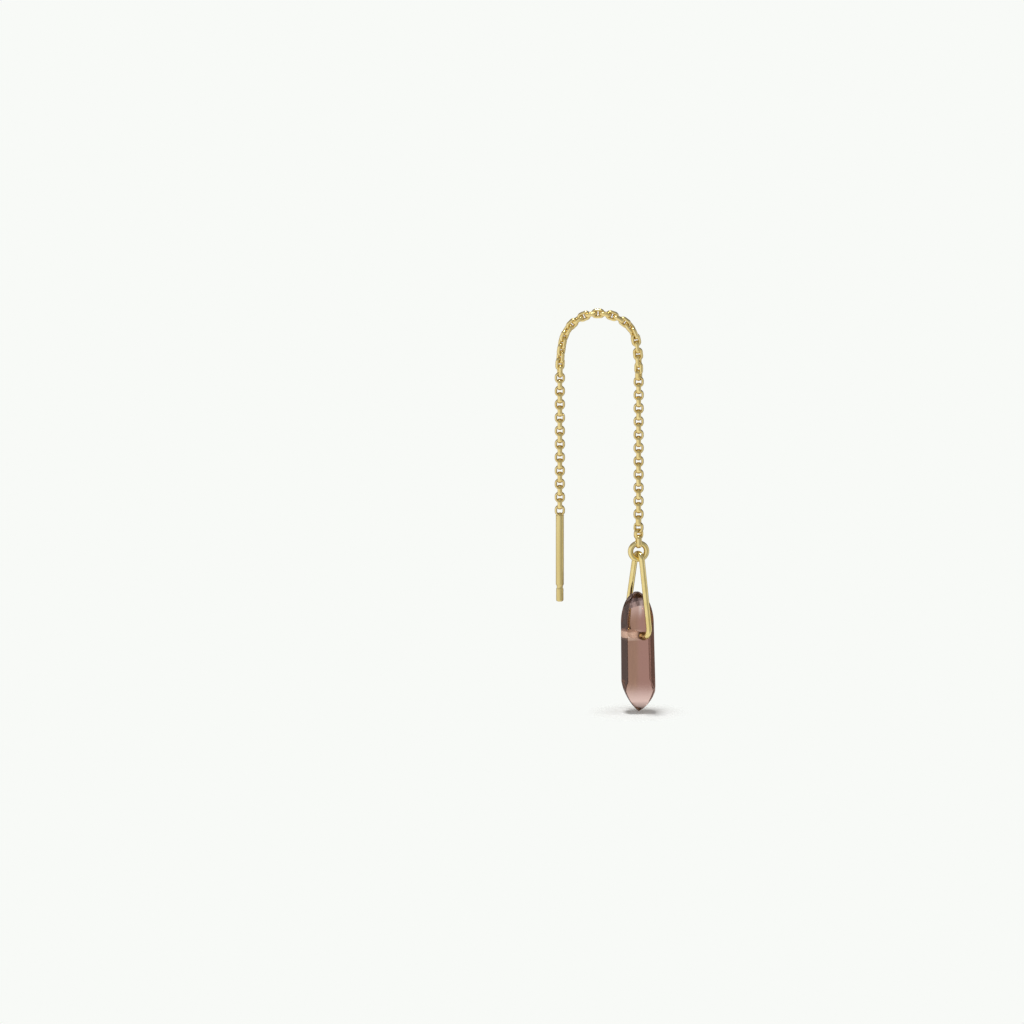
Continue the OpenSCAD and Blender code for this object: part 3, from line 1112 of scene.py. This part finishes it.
def curtain_share(tree, parts):
    """Share of the light that two dark curtains take, behind on the left and on the right."""
    behind = ramp(tree, parts["Y"], *CURTAIN_BEHIND)
    aside = calc(tree, "ABSOLUTE", parts["X"])
    past_inner = ramp(tree, aside, *CURTAIN_INNER_EDGE)
    past_outer = ramp(tree, aside, *CURTAIN_OUTER_EDGE)
    strip = calc(tree, "SUBTRACT", past_inner, past_outer)
    taken = ramp(tree, parts["X"], *CURTAIN_MIDDLE, *CURTAIN_SHARES, shape="LINEAR")
    return calc(tree, "MULTIPLY", calc(tree, "MULTIPLY", behind, strip), taken)


def make_room():
    """A pale room for light and reflections. The camera itself sees a plain backdrop."""
    world = bpy.data.worlds.new("pale room")
    bpy.context.scene.world = world
    world.use_nodes = True
    tree = world.node_tree
    tree.nodes.clear()
    way = add(tree, "ShaderNodeTexCoord").outputs["Generated"]
    parts = split(tree, way)
    sky = ramp(tree, parts["Z"], *SKY_HEIGHTS, *SKY_LIGHTS, shape="LINEAR")
    curtains = curtain_share(tree, parts)
    lit = calc(tree, "MULTIPLY", sky, calc(tree, "SUBTRACT", 1, curtains))
    light = calc(tree, "MULTIPLY", lit, dark_patch(tree, way))
    tone = blend(tree, curtains, (1, 1, 1), CURTAIN_TINT)
    room = result(tree, "ShaderNodeBackground", {"Color": tone, "Strength": light})
    backdrop = result(tree, "ShaderNodeBackground", {"Color": (*BACKDROP, 1), "Strength": 1})
    seen = add(tree, "ShaderNodeLightPath").outputs["Is Camera Ray"]
    mixed = result(tree, "ShaderNodeMixShader", {0: seen, 1: room, 2: backdrop})
    add(tree, "ShaderNodeOutputWorld", {"Surface": mixed})


# The earring on its stage
make_camera()
make_floor()
make_lamp()
make_room()
bpy.context.scene.view_settings.view_transform = "Standard"

marks = handling_group()
chain_gold = gold_material("bright chain gold", marks, **CHAIN_GOLD)
satin_gold = gold_material("satin gold", marks, **SATIN_GOLD)
polished_gold = gold_material("polished gold", marks, **POLISHED_GOLD)
links = link_tree()
wires = wire_tree()
make_chain(links, chain_gold)
make_thread_bar(links, satin_gold, chain_gold)
make_jump_ring(wires, polished_gold)
make_wire_frame(wires, polished_gold)
make_crystal(crystal_material(marks), ground_material(marks))
